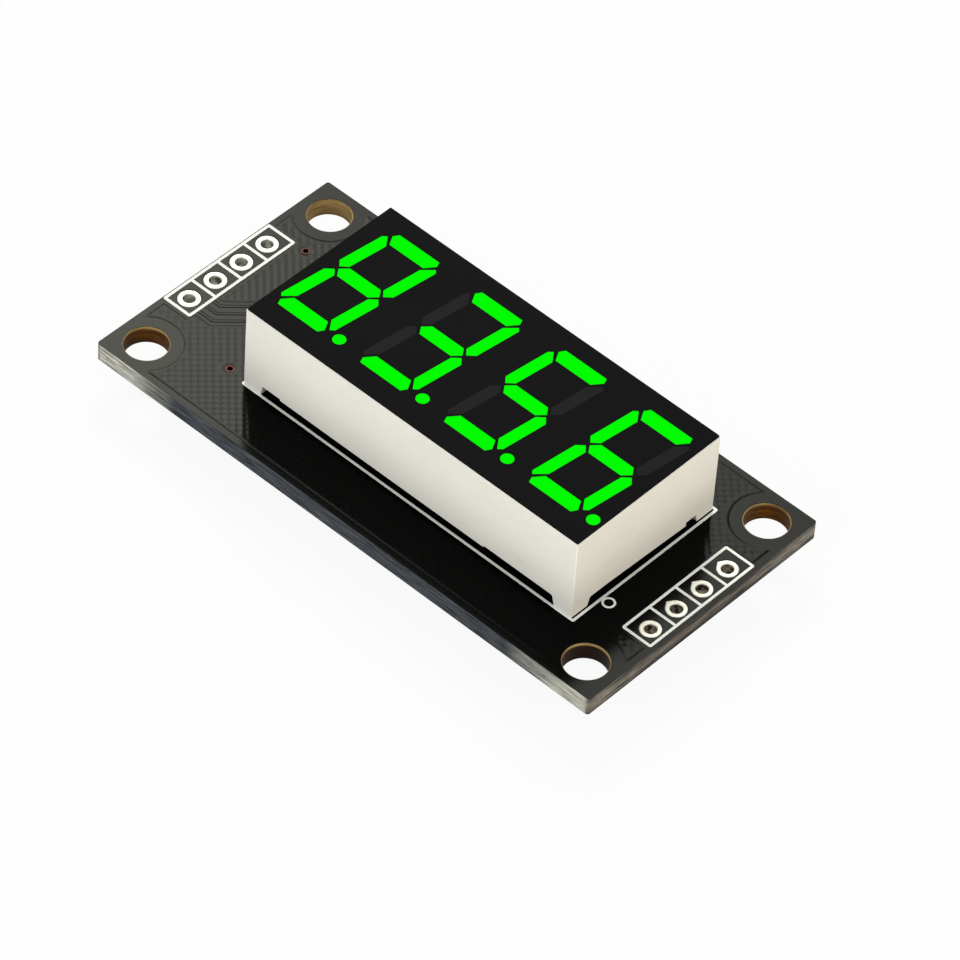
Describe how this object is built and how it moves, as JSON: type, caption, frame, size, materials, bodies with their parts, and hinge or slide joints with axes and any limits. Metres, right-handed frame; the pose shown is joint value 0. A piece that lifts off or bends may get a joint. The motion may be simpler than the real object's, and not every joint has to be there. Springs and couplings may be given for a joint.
{
  "type": "seven segment display module",
  "caption": "Small black circuit board with a white, black faced seven segment display that shows green digits, corner fixing holes and a row of header holes at each end.",
  "frame": {"origin": "Centre of the mounting-hole pattern, on the top face of the bare laminate", "axes": "+X along the row of digits in reading direction, +Y towards the tops of the digits, +Z out of the face"},
  "size_m": [0.0452, 0.0226, 0.011],
  "materials": {
    "laminate": "sawn glass fibre laminate",
    "black_lacquer": "glossy solder mask",
    "white_ink": "screen printed ink",
    "tinned_copper": "bright hot tinned",
    "covered_copper": "copper under thin lacquer",
    "white_housing": "moulded, satin",
    "black_film": "smooth printed film",
    "lit_resin": "diffusing resin, lit",
    "dark_resin": "diffusing resin, unlit",
    "carrier_laminate": "plain laminate",
    "light_chip": "polished crystal",
    "seal_resin": "cast epoxy",
    "tinned_wire": "tin plated",
    "solder": "bright solder",
    "moulded_epoxy": "fine eroded mould texture",
    "white_ceramic": "fired alumina",
    "dark_glaze": "glass glaze",
    "tan_ceramic": "fired dielectric"
  },
  "bodies": {
    "root": {"laminate": "laminate", "solder_mask_top": "black_lacquer", "solder_mask_bottom": "black_lacquer", "screen_print": "white_ink", "header_lands_left": "tinned_copper", "header_lands_right": "tinned_copper", "display_pin_lands": "tinned_copper", "vias": "covered_copper", "display_housing": "white_housing", "display_face": "black_film", "digit_1_segment_a": "lit_resin", "digit_1_segment_b": "lit_resin", "digit_1_segment_c": "lit_resin", "digit_1_segment_d": "lit_resin", "digit_1_segment_e": "lit_resin", "digit_1_segment_f": "lit_resin", "digit_1_segment_g": "lit_resin", "digit_2_segment_a": "lit_resin", "digit_2_segment_b": "lit_resin", "digit_2_segment_c": "lit_resin", "digit_2_segment_d": "lit_resin", "digit_2_segment_e": "dark_resin", "digit_2_segment_f": "dark_resin", "digit_2_segment_g": "lit_resin", "digit_3_segment_a": "lit_resin", "digit_3_segment_b": "dark_resin", "digit_3_segment_c": "lit_resin", "digit_3_segment_d": "lit_resin", "digit_3_segment_e": "dark_resin", "digit_3_segment_f": "lit_resin", "digit_3_segment_g": "lit_resin", "digit_4_segment_a": "lit_resin", "digit_4_segment_b": "dark_resin", "digit_4_segment_c": "lit_resin", "digit_4_segment_d": "lit_resin", "digit_4_segment_e": "lit_resin", "digit_4_segment_f": "lit_resin", "digit_4_segment_g": "lit_resin", "digit_1_decimal_point": "lit_resin", "digit_2_decimal_point": "lit_resin", "digit_3_decimal_point": "lit_resin", "digit_4_decimal_point": "lit_resin", "display_carrier_board": "carrier_laminate", "light_chips": "light_chip", "display_back_seal": "seal_resin", "display_pins": "tinned_wire", "display_pin_joints": "solder", "driver_body": "moulded_epoxy", "driver_leads": "tinned_wire", "driver_joints": "solder", "resistor_bodies": "white_ceramic", "resistor_glazes": "dark_glaze", "resistor_end_caps": "tinned_wire", "capacitor_bodies": "tan_ceramic", "capacitor_end_caps": "tinned_wire", "chip_part_joints": "solder"}
  },
  "joints": []
}
